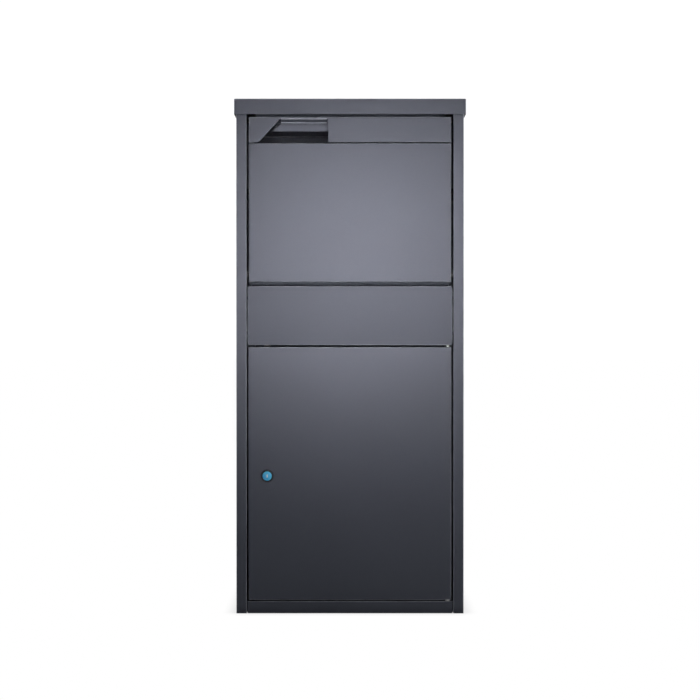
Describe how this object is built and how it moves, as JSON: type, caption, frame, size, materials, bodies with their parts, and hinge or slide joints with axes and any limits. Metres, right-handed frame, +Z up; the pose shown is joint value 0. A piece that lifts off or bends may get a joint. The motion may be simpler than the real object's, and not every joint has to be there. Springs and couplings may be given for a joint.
{
  "type": "parcel drop box",
  "caption": "Tall sheet-steel parcel drop box with a tilting drop hatch and tray above a side-hinged door with a cam lock, under an overhanging lid.",
  "frame": {"origin": "bottom centre of the box's overall bounding box, on the ground plane", "axes": "+Z up, front with hatch and door faces -Y, +X to the viewer's right seen from the front"},
  "size_m": [0.45, 0.355, 1],
  "materials": {
    "powder_coat": "fine matt powder coat, anthracite",
    "zinc": "zinc plated",
    "chrome": "polished",
    "lock_disc": "glossy blue",
    "blackened": "blackened",
    "nylon": "dark grey nylon",
    "rubber": "matt black"
  },
  "bodies": {
    "cabinet": {"back_panel": "powder_coat", "door_glide_button": "nylon", "door_pivot_pin_lower": "zinc", "door_pivot_pin_upper": "zinc", "door_pivot_washer": "zinc", "floor_pan": "powder_coat", "hatch_buffer_left": "rubber", "hatch_buffer_right": "rubber", "hatch_bush_left": "nylon", "hatch_bush_right": "nylon", "header_rail": "powder_coat", "left_side_panel": "powder_coat", "middle_panel": "powder_coat", "middle_rivet_left_lower": "powder_coat", "middle_rivet_left_upper": "powder_coat", "middle_rivet_right_lower": "powder_coat", "middle_rivet_right_upper": "powder_coat", "rear_guard_plate": "powder_coat", "right_side_panel": "powder_coat", "roof_cap": "powder_coat", "roof_nut_front_left": "zinc", "roof_nut_front_right": "zinc", "roof_nut_rear_left": "zinc", "roof_nut_rear_right": "zinc"},
    "hatch": {"hatch_cheek_left": "powder_coat", "hatch_cheek_right": "powder_coat", "hatch_grip_plate": "powder_coat", "hatch_handle_strip": "powder_coat", "hatch_panel": "powder_coat", "hatch_pivot_pin_left": "blackened", "hatch_pivot_pin_right": "blackened", "hatch_rivet_left_lower": "powder_coat", "hatch_rivet_left_middle": "powder_coat", "hatch_rivet_left_upper": "powder_coat", "hatch_rivet_right_lower": "powder_coat", "hatch_rivet_right_middle": "powder_coat", "hatch_rivet_right_upper": "powder_coat", "hatch_stop_pad_left": "rubber", "hatch_stop_pad_right": "rubber", "hatch_tray": "powder_coat", "tray_rivet_left_front": "powder_coat", "tray_rivet_left_rear": "powder_coat", "tray_rivet_right_front": "powder_coat", "tray_rivet_right_rear": "powder_coat"},
    "door": {"door_panel": "powder_coat", "door_stiffener": "powder_coat", "lock_body": "chrome", "lock_nut": "zinc", "lock_washer": "zinc"},
    "lock_spindle": {"lock_cam": "zinc", "lock_cam_screw": "zinc", "lock_face_disc": "lock_disc", "lock_plug": "chrome"}
  },
  "joints": [
    {"name": "hatch_hinge", "type": "hinge", "parent": "cabinet", "child": "hatch", "pos_m": [0, -0.1605, 0.659], "axis": [1, 0, 0], "range_deg": [0, 45]},
    {"name": "door_hinge", "type": "hinge", "parent": "cabinet", "child": "door", "pos_m": [0.19, -0.1665, 0.27], "axis": [0, 0, 1], "range_deg": [0, 110]},
    {"name": "lock_turn", "type": "hinge", "parent": "door", "child": "lock_spindle", "pos_m": [-0.161, -0.1725, 0.2675], "axis": [0, 1, 0], "range_deg": [0, 90]}
  ]
}
